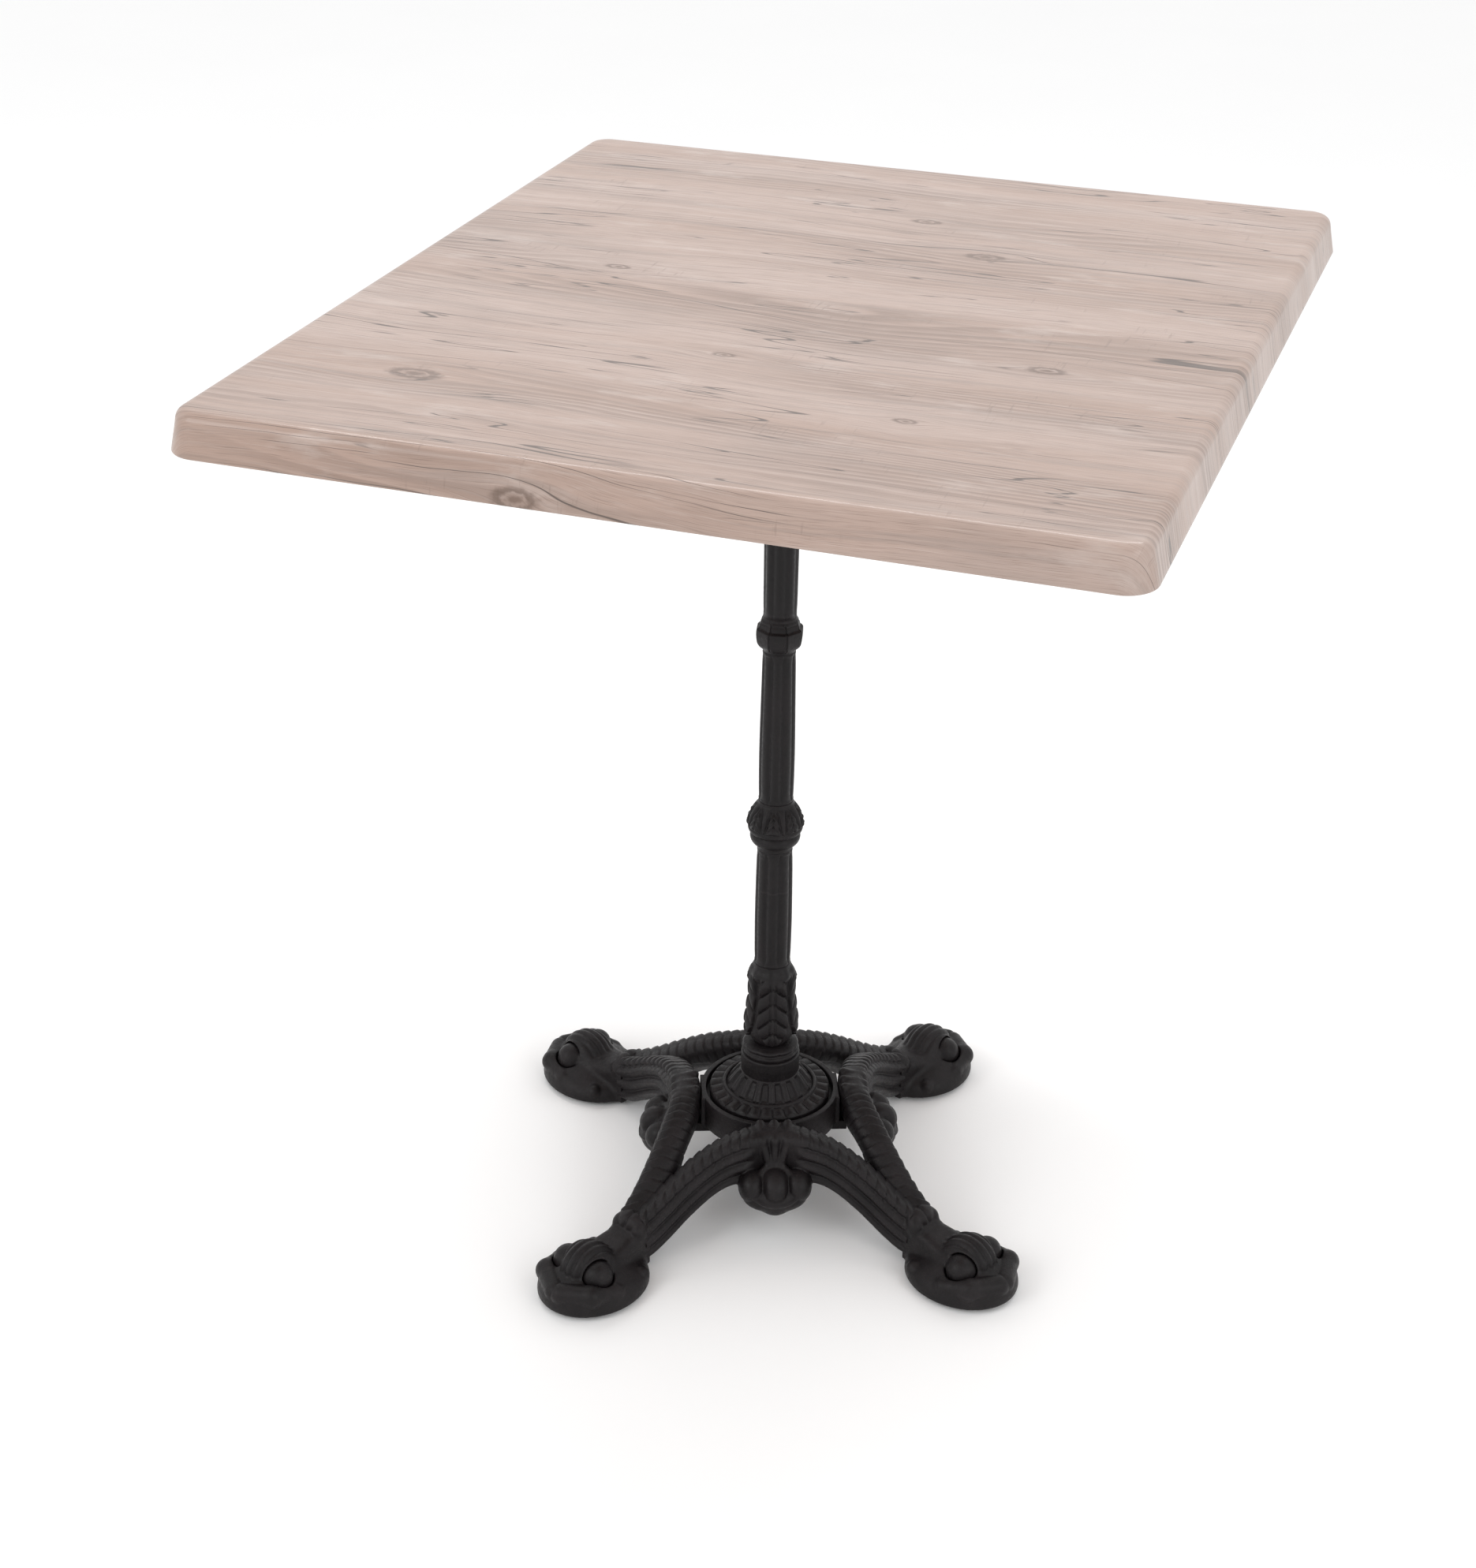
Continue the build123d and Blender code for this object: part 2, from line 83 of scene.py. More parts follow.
def nets(field, low, high, step):
    """Points and quads of the surface where a field crosses zero, negative inside."""
    axes = [np.arange(a, b + step, step, dtype=np.float32) for a, b in zip(low, high)]
    grid = np.meshgrid(*axes, indexing="ij")
    d = field(*grid).astype(np.float32)
    cells = tuple(n - 1 for n in d.shape)
    total = np.zeros(cells + (3,), np.float32)
    count = np.zeros(cells, np.float32)
    for axis in range(3):
        others = [a for a in range(3) if a != axis]
        for p in (0, 1):
            for q in (0, 1):
                start = [0, 0, 0]
                start[others[0]], start[others[1]] = p, q
                first = tuple(slice(s, s + n) for s, n in zip(start, cells))
                start[axis] = 1
                second = tuple(slice(s, s + n) for s, n in zip(start, cells))
                a, b = d[first], d[second]
                cross = (a < 0) != (b < 0)
                share = np.where(cross, a / np.where(cross, a - b, 1), 0)
                total[..., axis] += share
                total[..., others[0]] += np.where(cross, p, 0)
                total[..., others[1]] += np.where(cross, q, 0)
                count += cross
    used = count > 0
    index = np.full(cells, -1, np.int64)
    index[used] = np.arange(used.sum())
    where = np.argwhere(used)
    verts = (where + total[used] / count[used][:, None]) * step + np.array(low)
    faces = []
    for axis in range(3):
        b, c = [(1, 2), (2, 0), (0, 1)][axis]
        n = list(d.shape)
        lo = [slice(0, n[i] - 1) if i == axis else slice(1, n[i] - 1) for i in range(3)]
        hi = list(lo)
        hi[axis] = slice(1, n[axis])
        one, two = d[tuple(lo)] < 0, d[tuple(hi)] < 0
        for sign in (True, False):
            spots = np.argwhere((one == sign) & (two != sign))
            for i in range(3):
                if i != axis:
                    spots[:, i] += 1
            quad = []
            for db, dc in ((-1, -1), (0, -1), (0, 0), (-1, 0)):
                cell = spots.copy()
                cell[:, b] += db
                cell[:, c] += dc
                quad.append(index[cell[:, 0], cell[:, 1], cell[:, 2]])
            quad = np.stack(quad, 1)
            faces.append(quad if sign else quad[:, ::-1])
    return verts, np.concatenate(faces)


def smin(a, b, k):
    """The smaller of two distances, with the join rounded over a width k."""
    h = np.clip(0.5 + 0.5 * (b - a) / k, 0, 1)
    return b * (1 - h) + a * h - k * h * (1 - h)


def smax(a, b, k):
    """The larger of two distances, with the join rounded over a width k."""
    return -smin(-a, -b, k)


def ball(x, y, z, centre, radii):
    """Distance to an ellipsoid, good enough near its surface."""
    p = [(v - c) for v, c in zip((x, y, z), centre)]
    k0 = np.sqrt(sum((v / r) ** 2 for v, r in zip(p, radii))) + 1e-6
    k1 = np.sqrt(sum((v / r**2) ** 2 for v, r in zip(p, radii))) + 1e-6
    return k0 * (k0 - 1) / k1


def rod(x, y, z, a, b, ra, rb):
    """Distance to a tapered round bar between two points."""
    a, b = np.array(a, float), np.array(b, float)
    along = b - a
    t = ((x - a[0]) * along[0] + (y - a[1]) * along[1] + (z - a[2]) * along[2]) / along.dot(along)
    t = np.clip(t, 0, 1)
    gap = np.sqrt(sum((v - a[i] - t * along[i]) ** 2 for i, v in enumerate((x, y, z))))
    return gap - (ra + (rb - ra) * t)


def bump(value, centre, width):
    """A smooth hump of height 1 at the centre."""
    return np.exp(-(((value - centre) / width) ** 2))


# ---------------------------------------------------------------- shading helpers
class Nodes:
    """A short way to write a material's node tree."""

    def __init__(self, name):
        self.material = bpy.data.materials.new(name)
        self.material.use_nodes = True
        self.tree = self.material.node_tree
        self.tree.nodes.clear()
        self.out = self.tree.nodes.new("ShaderNodeOutputMaterial")
        self.bsdf = self.tree.nodes.new("ShaderNodeBsdfPrincipled")
        self.tree.links.new(self.bsdf.outputs[0], self.out.inputs[0])

    def link(self, value, socket):
        if hasattr(value, "is_linked"):
            self.tree.links.new(value, socket)
        else:
            socket.default_value = value

    def math(self, op, a, b=0.0):
        n = self.tree.nodes.new("ShaderNodeMath")
        n.operation = op
        for v, s in zip((a, b), n.inputs):
            self.link(v, s)
        return n.outputs[0]

    def coords(self):
        return self.tree.nodes.new("ShaderNodeTexCoord").outputs["Object"]

    def attribute(self, name):
        n = self.tree.nodes.new("ShaderNodeAttribute")
        n.attribute_name = name
        return n.outputs["Vector"]

    def split(self, vector):
        n = self.tree.nodes.new("ShaderNodeSeparateXYZ")
        self.link(vector, n.inputs[0])
        return n.outputs

    def join(self, x, y, z):
        n = self.tree.nodes.new("ShaderNodeCombineXYZ")
        for v, s in zip((x, y, z), n.inputs):
            self.link(v, s)
        return n.outputs[0]

    def stretch(self, vector, scale):
        n = self.tree.nodes.new("ShaderNodeMapping")
        self.link(vector, n.inputs["Vector"])
        n.inputs["Scale"].default_value = scale
        return n.outputs[0]

    def noise(self, vector, scale=1.0, detail=3.0, rough=0.5):
        n = self.tree.nodes.new("ShaderNodeTexNoise")
        self.link(vector, n.inputs["Vector"])
        n.inputs["Scale"].default_value = scale
        n.inputs["Detail"].default_value = detail
        n.inputs["Roughness"].default_value = rough
        return n.outputs[0]

    def cells(self, vector, scale):
        n = self.tree.nodes.new("ShaderNodeTexVoronoi")
        self.link(vector, n.inputs["Vector"])
        n.inputs["Scale"].default_value = scale
        return n.outputs["Distance"]

    def range(self, value, a, b, c=0.0, d=1.0):
        """Takes a..b to c..d with soft ends."""
        n = self.tree.nodes.new("ShaderNodeMapRange")
        n.interpolation_type = "SMOOTHSTEP"
        for v, s in zip((value, a, b, c, d), n.inputs):
            self.link(v, s)
        return n.outputs[0]

    def mix(self, share, a, b, blend="MIX"):
        n = self.tree.nodes.new("ShaderNodeMix")
        n.data_type = "RGBA"
        n.blend_type = blend
        self.link(share, n.inputs[0])
        self.link(a, n.inputs[6])
        self.link(b, n.inputs[7])
        return n.outputs[2]

    def relief(self, height, distance, strength):
        n = self.tree.nodes.new("ShaderNodeBump")
        n.inputs["Strength"].default_value = strength
        n.inputs["Distance"].default_value = distance
        self.link(height, n.inputs["Height"])
        return n.outputs[0]


def rgb(r, g, b):
    return (r, g, b, 1.0)


# ---------------------------------------------------------------- finishes
def iron(name, base, shine=0.42, grain=1.0):
    """Satin black paint over sand-cast iron: fine grain, small pits, worn high spots lightened partly as wear and
    partly as a painted highlight, and painted shade in concave spots.
    """
    n = Nodes(name)
    at = n.coords()
    fine = n.noise(at, 1500.0, 2.0, 0.6)
    mid = n.noise(at, 420.0, 3.0, 0.55)
    broad = n.noise(at, 38.0, 4.0, 0.6)
    pits = n.range(n.cells(at, 620.0), 0.05, 0.28)
    dust = n.range(broad, 0.35, 0.7)
    dark = [c * 0.72 for c in base] + [1.0]
    pale = [c * 1.45 for c in base] + [1.0]
    colour = n.mix(dust, dark, pale)
    geometry = n.tree.nodes.new("ShaderNodeNewGeometry")
    # Convex edges lightened: partly worn paint, partly a painted highlight
    wear_and_highlight = n.range(geometry.outputs["Pointiness"], 0.50, 0.60)
    colour = n.mix(n.math("MULTIPLY", wear_and_highlight, 0.5), colour, rgb(*[c * 2.6 for c in base]))
    # Concave spots darkened: painted shade where light reaches less
    hollow_shade = n.range(geometry.outputs["Pointiness"], 0.49, 0.42)
    colour = n.mix(n.math("MULTIPLY", hollow_shade, 0.6), colour, rgb(*[c * 0.35 for c in base]))
    n.link(colour, n.bsdf.inputs["Base Color"])
    worn = n.math("ADD", n.math("MULTIPLY", mid, 0.6), n.math("MULTIPLY", broad, 0.4))
    n.link(n.range(worn, 0.3, 0.7, shine - 0.08, shine + 0.16), n.bsdf.inputs["Roughness"])
    n.bsdf.inputs["Specular IOR Level"].default_value = 0.22
    height = n.math("ADD", n.math("MULTIPLY", fine, 0.35), n.math("MULTIPLY", mid, 0.65))
    height = n.math("ADD", height, n.math("MULTIPLY", pits, 0.4))
    n.link(n.relief(height, 0.00045 * grain, 0.75), n.bsdf.inputs["Normal"])
    return n.material


def zinc(name):
    """Zinc-plated steel: fine spangle under a smeared passivated film."""
    n = Nodes(name)
    at = n.coords()
    spangle = n.cells(at, 900.0)
    smear = n.noise(at, 160.0, 4.0, 0.6)
    colour = n.mix(n.range(smear, 0.3, 0.7), rgb(0.42, 0.43, 0.45), rgb(0.62, 0.62, 0.60))
    n.link(colour, n.bsdf.inputs["Base Color"])
    n.bsdf.inputs["Metallic"].default_value = 1.0
    n.link(n.range(spangle, 0.0, 0.7, 0.28, 0.46), n.bsdf.inputs["Roughness"])
    n.link(n.relief(n.math("ADD", spangle, smear), 0.0001, 0.4), n.bsdf.inputs["Normal"])
    return n.material


def nylon(name):
    """Black moulded nylon, scuffed along one direction."""
    n = Nodes(name)
    at = n.coords()
    speck = n.noise(at, 1300.0, 2.0, 0.6)
    scuff = n.noise(n.stretch(at, (400, 60, 60)), 1.0, 3.0, 0.6)
    colour = n.mix(n.range(scuff, 0.45, 0.7), rgb(0.018, 0.018, 0.019), rgb(0.06, 0.06, 0.06))
    n.link(colour, n.bsdf.inputs["Base Color"])
    n.link(n.range(speck, 0.3, 0.7, 0.5, 0.7), n.bsdf.inputs["Roughness"])
    n.link(n.relief(speck, 0.0001, 0.5), n.bsdf.inputs["Normal"])
    return n.material


# Knots in the decor: place on the unrolled board in metres, and size
KNOTS = (
    (-0.186, -0.232, 0.011),
    (0.082, 0.135, 0.009),
    (0.178, -0.086, 0.008),
    (-0.150, 0.020, 0.006),
    (0.020, 0.205, 0.007),
    (-0.070, -0.366, 0.009),
    (0.120, -0.205, 0.005),
    (-0.020, -0.130, 0.005),
)


def pine(name):
    """Printed whitewashed pine: streaks, growth rings, knots, long cracks and saw marks."""
    n = Nodes(name)
    at = n.attribute("unrolled")
    x, y, _ = n.split(at)
    # Grain wanders a little, and bends round each knot
    drift = n.noise(n.stretch(at, (1.1, 2.2, 1)), 1.0, 2.0, 0.5)
    wander = n.noise(n.stretch(at, (5.0, 11.0, 1)), 1.0, 3.0, 0.5)
    y2 = n.math("ADD", y, n.math("MULTIPLY", n.math("SUBTRACT", drift, 0.5), 0.085))
    y2 = n.math("ADD", y2, n.math("MULTIPLY", n.math("SUBTRACT", wander, 0.5), 0.013))
    heart, rim = 0.0, 0.0
    for kx, ky, size in KNOTS:
        dx = n.math("DIVIDE", n.math("SUBTRACT", x, kx), size * 3.4)
        dy = n.math("DIVIDE", n.math("SUBTRACT", y, ky), size * 1.5)
        far = n.math("ADD", n.math("MULTIPLY", dx, dx), n.math("MULTIPLY", dy, dy))
        pull = n.math("EXPONENT", n.math("MULTIPLY", far, -0.5))
        y2 = n.math("SUBTRACT", y2, n.math("MULTIPLY", n.math("MULTIPLY", pull, dy), size * 1.25))
        ex = n.math("DIVIDE", n.math("SUBTRACT", x, kx), size * 1.25)
        ey = n.math("DIVIDE", n.math("SUBTRACT", y, ky), size * 0.62)
        r = n.math("SQRT", n.math("ADD", n.math("MULTIPLY", ex, ex), n.math("MULTIPLY", ey, ey)))
        r = n.math("ADD", r, n.math("MULTIPLY", n.math("SUBTRACT", n.noise(at, 240.0, 2.0), 0.5), 0.7))
        heart = n.math("MAXIMUM", heart, n.range(r, 0.75, 0.15))
        rim = n.math("MAXIMUM", rim, n.math("MULTIPLY", n.range(r, 0.55, 0.9), n.range(r, 1.6, 0.95)))
    grain = n.join(x, y2, 0.0)
    fibre = n.noise(n.stretch(grain, (14.0, 900.0, 1)), 1.0, 4.0, 0.62)
    hair = n.noise(n.stretch(grain, (34.0, 2600.0, 1)), 1.0, 2.0, 0.6)
    streak = n.noise(n.stretch(grain, (2.6, 120.0, 1)), 1.0, 4.0, 0.55)
    band = n.noise(n.stretch(grain, (0.9, 15.0, 1)), 1.0, 3.0, 0.5)
    patch = n.noise(n.stretch(at, (3.2, 7.0, 1)), 1.0, 4.0, 0.6)
    # Growth rings, close together in places and open in others
    swell = n.noise(n.stretch(grain, (1.5, 9.0, 1)), 1.0, 2.0, 0.5)
    turns = n.math("ADD", n.math("MULTIPLY", y2, 135.0), n.math("MULTIPLY", swell, 16.0))
    saw = n.math("FRACT", turns)
    ring = n.math("MULTIPLY", n.range(saw, 0.0, 0.72), n.range(saw, 1.0, 0.88))
    ring_mask = n.range(n.noise(n.stretch(grain, (2.0, 14.0, 1)), 1.0, 2.0, 0.5), 0.42, 0.62)
    # Colours
    pale, warm = rgb(0.60, 0.475, 0.415), rgb(0.515, 0.375, 0.305)
    grey, brown = rgb(0.40, 0.325, 0.285), rgb(0.24, 0.165, 0.125)
    colour = n.mix(n.range(band, 0.34, 0.66), pale, warm)
    colour = n.mix(n.math("MULTIPLY", n.range(patch, 0.45, 0.72), 0.55), colour, grey)
    colour = n.mix(n.math("MULTIPLY", n.range(streak, 0.50, 0.74), 0.75), colour, grey)
    colour = n.mix(n.math("MULTIPLY", n.range(streak, 0.44, 0.25), 0.55), colour, rgb(0.66, 0.54, 0.48))
    colour = n.mix(n.math("MULTIPLY", n.math("MULTIPLY", ring, ring_mask), 0.50), colour, brown)
    colour = n.mix(n.math("MULTIPLY", n.range(fibre, 0.52, 0.74), 0.55), colour, grey)
    colour = n.mix(n.math("MULTIPLY", n.range(fibre, 0.45, 0.28), 0.45), colour, rgb(0.70, 0.59, 0.53))
    colour = n.mix(n.math("MULTIPLY", n.range(hair, 0.53, 0.70), 0.62), colour, brown)
    # Whitewash left in worn patches
    chalk = n.noise(n.stretch(at, (9.0, 30.0, 1)), 1.0, 5.0, 0.65)
    wash = n.math("MULTIPLY", n.range(chalk, 0.54, 0.70), 0.40)
    colour = n.mix(wash, colour, rgb(0.72, 0.63, 0.58))
    # Drying cracks along the grain, where a thin noise field crosses its middle; from long to short
    cracks = 0.0
    for scale, wide, low, high, shift in (
        ((1.6, 26.0, 1), 0.0045, 0.48, 0.56, 0.0),
        ((2.4, 55.0, 1), 0.0065, 0.50, 0.58, 3.7),
        ((4.2, 90.0, 1), 0.0100, 0.52, 0.60, 8.1),
    ):
        moved = n.join(n.math("ADD", x, shift), n.math("ADD", y2, shift), 0.0)
        line = n.noise(n.stretch(moved, scale), 1.0, 1.5, 0.45)
        thin = n.range(n.math("ABSOLUTE", n.math("SUBTRACT", line, 0.5)), wide, wide * 0.25)
        where = n.noise(n.stretch(moved, (scale[0] * 1.7, scale[1] * 0.35, 1)), 1.0, 2.0, 0.5)
        cracks = n.math("MAXIMUM", cracks, n.math("MULTIPLY", thin, n.range(where, low, high)))
    colour = n.mix(n.math("MULTIPLY", cracks, 0.85), colour, rgb(0.085, 0.062, 0.05))
    # Saw and plane marks across the grain
    strokes = n.noise(n.stretch(at, (260.0, 34.0, 1)), 1.0, 2.0, 0.6)
    stroke_mask = n.range(n.noise(n.stretch(at, (7.0, 16.0, 1)), 1.0, 2.0, 0.5), 0.50, 0.66)
    marks = n.math("MULTIPLY", n.range(strokes, 0.60, 0.72), stroke_mask)
    colour = n.mix(n.math("MULTIPLY", marks, 0.42), colour, rgb(0.27, 0.20, 0.165))
    # Knots, and one overall tone
    colour = n.mix(n.math("MULTIPLY", rim, 0.75), colour, rgb(0.17, 0.11, 0.08))
    colour = n.mix(n.math("MULTIPLY", heart, 0.85), colour, rgb(0.20, 0.13, 0.095))
    colour = n.mix(1.0, colour, rgb(0.70, 0.665, 0.655), "MULTIPLY")
    n.link(colour, n.bsdf.inputs["Base Color"])
    n.bsdf.inputs["Coat Weight"].default_value = 0.45
    n.bsdf.inputs["Coat Roughness"].default_value = 0.16
    worn = n.math("ADD", n.math("MULTIPLY", fibre, 0.5), n.math("MULTIPLY", patch, 0.5))
    n.link(n.range(worn, 0.35, 0.65, 0.36, 0.52), n.bsdf.inputs["Roughness"])
    n.bsdf.inputs["Specular IOR Level"].default_value = 0.42
    height = n.math("ADD", n.math("MULTIPLY", fibre, 0.35), n.math("MULTIPLY", streak, 0.30))
    height = n.math("SUBTRACT", height, n.math("MULTIPLY", cracks, 0.9))
    height = n.math("SUBTRACT", height, n.math("MULTIPLY", marks, 0.35))
    height = n.math("SUBTRACT", height, n.math("MULTIPLY", rim, 0.35))
    n.link(n.relief(height, 0.0006, 0.45), n.bsdf.inputs["Normal"])
    return n.material


iron_foot = iron("cast_iron_foot", (0.0092, 0.0074, 0.0080))
iron_column = iron("cast_iron_column", (0.0070, 0.0055, 0.0060), 0.42, 0.7)
tube_paint = iron("tube_paint", (0.0066, 0.0053, 0.0058), 0.40, 0.35)
zinc_steel = zinc("zinc_steel")
glide_nylon = nylon("glide_nylon")
printed_pine = pine("printed_pine")


# ---------------------------------------------------------------- tabletop
CORNER_R, CORNER_STEPS = 21.0, 24
SHORT_SIDE_STEPS, LONG_SIDE_STEPS = 44, 52


def outline(inset):
    """Points round the board and their outward directions, for an inset from its widest edge.

    Straight sides get the same number of points for every inset, so that the rings match."""
    radius = max(CORNER_R - inset, 1.0)
    points, out = [], []
    spans = ((1, 1, 0), (-1, 1, 1), (-1, -1, 2), (1, -1, 3))
    for sx, sy, k in spans:
        cx, cy = sx * (TOP_X / 2 - inset - radius), sy * (TOP_Y / 2 - inset - radius)
        for a in np.linspace(0, np.pi / 2, CORNER_STEPS) + k * np.pi / 2:
            points.append((cx + radius * np.cos(a), cy + radius * np.sin(a)))
            out.append((np.cos(a), np.sin(a)))
    points, out = np.array(points), np.array(out)
    more, dirs = [], []
    for i in range(len(points)):
        j = (i + 1) % len(points)
        corner, step = divmod(i, CORNER_STEPS)
        side = LONG_SIDE_STEPS if corner % 2 else SHORT_SIDE_STEPS
        count = side if step == CORNER_STEPS - 1 else 1
        for t in np.arange(count) / count:
            more.append(points[i] * (1 - t) + points[j] * t)
            dirs.append(out[i] * (1 - t) + out[j] * t)
    return np.array(more), np.array(dirs)


def board_mesh():
    """Board with a rolled upper edge, sides that flare downwards and a shallow recess underneath.

    The third result unrolls the surface, so that the decor runs on over the edge."""
    edge, flare, roll, lip = 28.0, 3.9, 8.0, 1.5
    profile = [(flare + roll + inset, 0.0) for inset in (26, 12, 4)]
    for a in np.linspace(0, np.pi / 2 - 0.13, 12):
        profile.append((flare + roll - roll * np.sin(a), -roll + roll * np.cos(a)))
    for t in np.linspace(0.2, 1, 6):
        profile.append((flare * (1 - t), -roll - (edge - roll - lip) * t))
    for a in np.linspace(0.3, np.pi / 2, 5):
        profile.append((lip - lip * np.cos(a), -edge + lip - lip * np.sin(a)))
    recess = ((6, 0), (24, 0), (31.0, 0), (31.8, 0.8), (33.5, 7.4), (34.5, 8), (60, 8))
    profile += [(inset, deep - edge) for inset, deep in recess]
    verts, wraps = [], []
    s, last = 0.0, profile[0]
    for inset, z in profile:
        s += math.hypot(inset - last[0], z - last[1])
        last = (inset, z)
        ring, out = outline(inset)
        count = len(ring)
        reach = s - (profile[0][0] - inset)
        wrap = ring + out * reach
        verts.append(np.c_[ring, np.full(count, TOP_Z + z)])
        wraps.append(np.c_[wrap * MM, np.zeros(count)])
    faces = []
    rows = len(profile)
    for r in range(rows - 1):
        a = r * count + np.arange(count)
        b = r * count + (np.arange(count) + 1) % count
        faces += np.stack([a, a + count, b + count, b], 1).tolist()
    faces.append(list(range(count)))
    faces.append([(rows - 1) * count + i for i in reversed(range(count))])
    return np.concatenate(verts), faces, np.concatenate(wraps)


board_verts, board_faces, unrolled = board_mesh()
board = make_object("board", board_verts, board_faces, {"unrolled": unrolled})
settle(board, "tabletop", printed_pine)


# ---------------------------------------------------------------- column
# Direction of one of the eight creases between the column's flutes
CREASE = math.radians(14.5)


def lathe(name, profile, shape=None, bore=6.0, around=256, gap=0.7):
    """A turned and carved tube: (z, r) points, refined to a gap, then carved by angle and height."""
    z = np.array([p[0] for p in profile], float)
    r = np.array([p[1] for p in profile], float)
    run = np.concatenate([[0], np.cumsum(np.hypot(np.diff(z), np.diff(r)))])
    s = np.linspace(0, run[-1], max(4, int(run[-1] / gap)))
    s = np.unique(np.concatenate([s, run]))
    zz, rr = np.interp(s, run, z), np.interp(s, run, r)
    theta = np.linspace(0, 2 * np.pi, around, endpoint=False)
    T, Z = np.meshgrid(theta, zz)
    _, R = np.meshgrid(theta, rr)
    if shape is not None:
        R, Z = shape(T, Z, R)
    ends = []
    for zi in (zz[0], zz[-1]):
        ends.append(np.c_[bore * np.cos(theta), bore * np.sin(theta), np.full(around, zi)])
    body = np.stack([R * np.cos(T), R * np.sin(T), Z], -1).reshape(-1, 3)
    verts = np.concatenate([ends[0], body, ends[1]])
    rows = len(s) + 2
    i = np.arange(around)
    j = (i + 1) % around
    faces = []
    for k in range(rows):
        a, b = k * around, ((k + 1) % rows) * around
        faces.append(np.stack([a + i, a + j, b + j, b + i], 1))
    return make_object(name, verts, np.concatenate(faces))


def spline(points, n=60):
    """A smooth curve through (z, r) points."""
    p = np.array(points, float)
    t = np.concatenate([[0], np.cumsum(np.hypot(*np.diff(p, axis=0).T))])
    m = np.zeros_like(p)
    m[1:-1] = (p[2:] - p[:-2]) / (t[2:] - t[:-2])[:, None]
    m[0], m[-1] = (p[1] - p[0]) / (t[1] - t[0]), (p[-1] - p[-2]) / (t[-1] - t[-2])
    out = []
    for k in range(len(p) - 1):
        h = t[k + 1] - t[k]
        for u in np.linspace(0, 1, max(3, int(n * h / t[-1])), endpoint=False):
            out.append((2 * u**3 - 3 * u**2 + 1) * p[k] + (u**3 - 2 * u**2 + u) * h * m[k]
                       + (-2 * u**3 + 3 * u**2) * p[k + 1] + (u**3 - u**2) * h * m[k + 1])
    out.append(p[-1])
    return out


def near(T, count, shift):
    """Signed angle to the nearest of some evenly spaced directions, in radians."""
    step = 2 * np.pi / count
    return (T - shift + step / 2) % step - step / 2


def fluted(low, high, depth):
    """Eight bellied flutes with creases between them, fading out at both ends, and a small lip there."""
    def shape(T, Z, R):
        d = near(T, 8, CREASE) * R
        fade = np.clip(np.minimum(Z - low, high - Z) / 9.0, 0, 1)
        cut = depth * np.exp(-((d / (0.5 + 1.1 * fade)) ** 2)) * np.clip(fade * 1.6, 0, 1)
        belly = 0.28 * np.cos(8 * (T - CREASE)) * fade
        lip = 0.35 * (bump(Z, low + 1.5, 1.0) + bump(Z, high - 1.5, 1.0))
        return R - cut - belly + lip, Z
    return shape


def lobed(count, depth, sharp, low, high):
    """A ring of rounded lobes between two heights."""
    def shape(T, Z, R):
        d = np.abs(np.cos(count * (T - CREASE) / 2 + np.pi / 2))
        inside = np.clip(np.minimum(Z - low, high - Z) / 2.5, 0, 1)
        return R - depth * (1 - d**sharp) * inside, Z
    return shape


def dished(T, Z, R):
    """Fluted cone, plain rim and reeded dish of the rosette."""
    cone = np.clip((R - 23.0) / 1.5, 0, 1) * np.clip((32.4 - R) / 1.2, 0, 1)
    tooth = np.clip(np.cos(16 * T) * 2.4, -1, 1)
    R = R + cone * 1.25 * tooth - 0.35 * cone
    ridge = bump(near(T, 16, 0) * R, 0, 0.5) * cone
    R = R - 0.55 * ridge
    dish = np.clip((R - 36.6) / 1.2, 0, 1) * np.clip((45.8 - R) / 1.0, 0, 1) * (Z > 84.0)
    reed = np.abs(np.sin(14 * T)) ** 0.6 - 0.62
    shell = 0.5 * reed * np.clip((Z - 80) / 4, 0, 1) * np.clip((R - 45) / 1, 0, 1)
    return R + shell, Z + dish * 2.2 * reed


def faceted(T, Z, R):
    """Eight flat faces with a narrow groove between each pair."""
    d = near(T, 8, CREASE + np.pi / 8)
    inside = np.clip(np.minimum(Z - 459.5, 483.0 - Z) / 3.0, 0, 1)
    flat = R * np.cos(np.pi / 8) / np.cos(d) + 0.55
    groove = 0.9 * bump(near(T, 8, CREASE) * R, 0, 0.55)
    step = 1.5 * np.clip((Z - 475.2) / 1.2, 0, 1) * np.clip((R - 13.0) / 2, 0, 1)
    return R + (np.minimum(flat, R + 0.2) - groove - step - R) * inside, Z


def middle(T, Z, R):
    """Leaf scrolls on the bulb, over a plain ridge and a beaded ring."""
    bulb = np.clip((Z - 316.0) / 2.0, 0, 1) * np.clip((335.0 - Z) / 3.0, 0, 1)
    d = near(T, 8, CREASE + np.pi / 8) * R
    rise = (Z - 316.0) / 18.0
    leaf = np.abs(d) - 6.6 * np.sqrt(np.clip(1.05 - rise, 0, 1))
    cut = 1.5 * bump(leaf, 0, 1.1) + 0.9 * bump(d, 0, 0.7) * np.clip(rise * 3, 0, 1)
    curl = np.sin((Z + np.abs(d) * 0.9) * 1.3) * 0.45 * (leaf < -1)
    return R - bulb * (cut - curl), Z


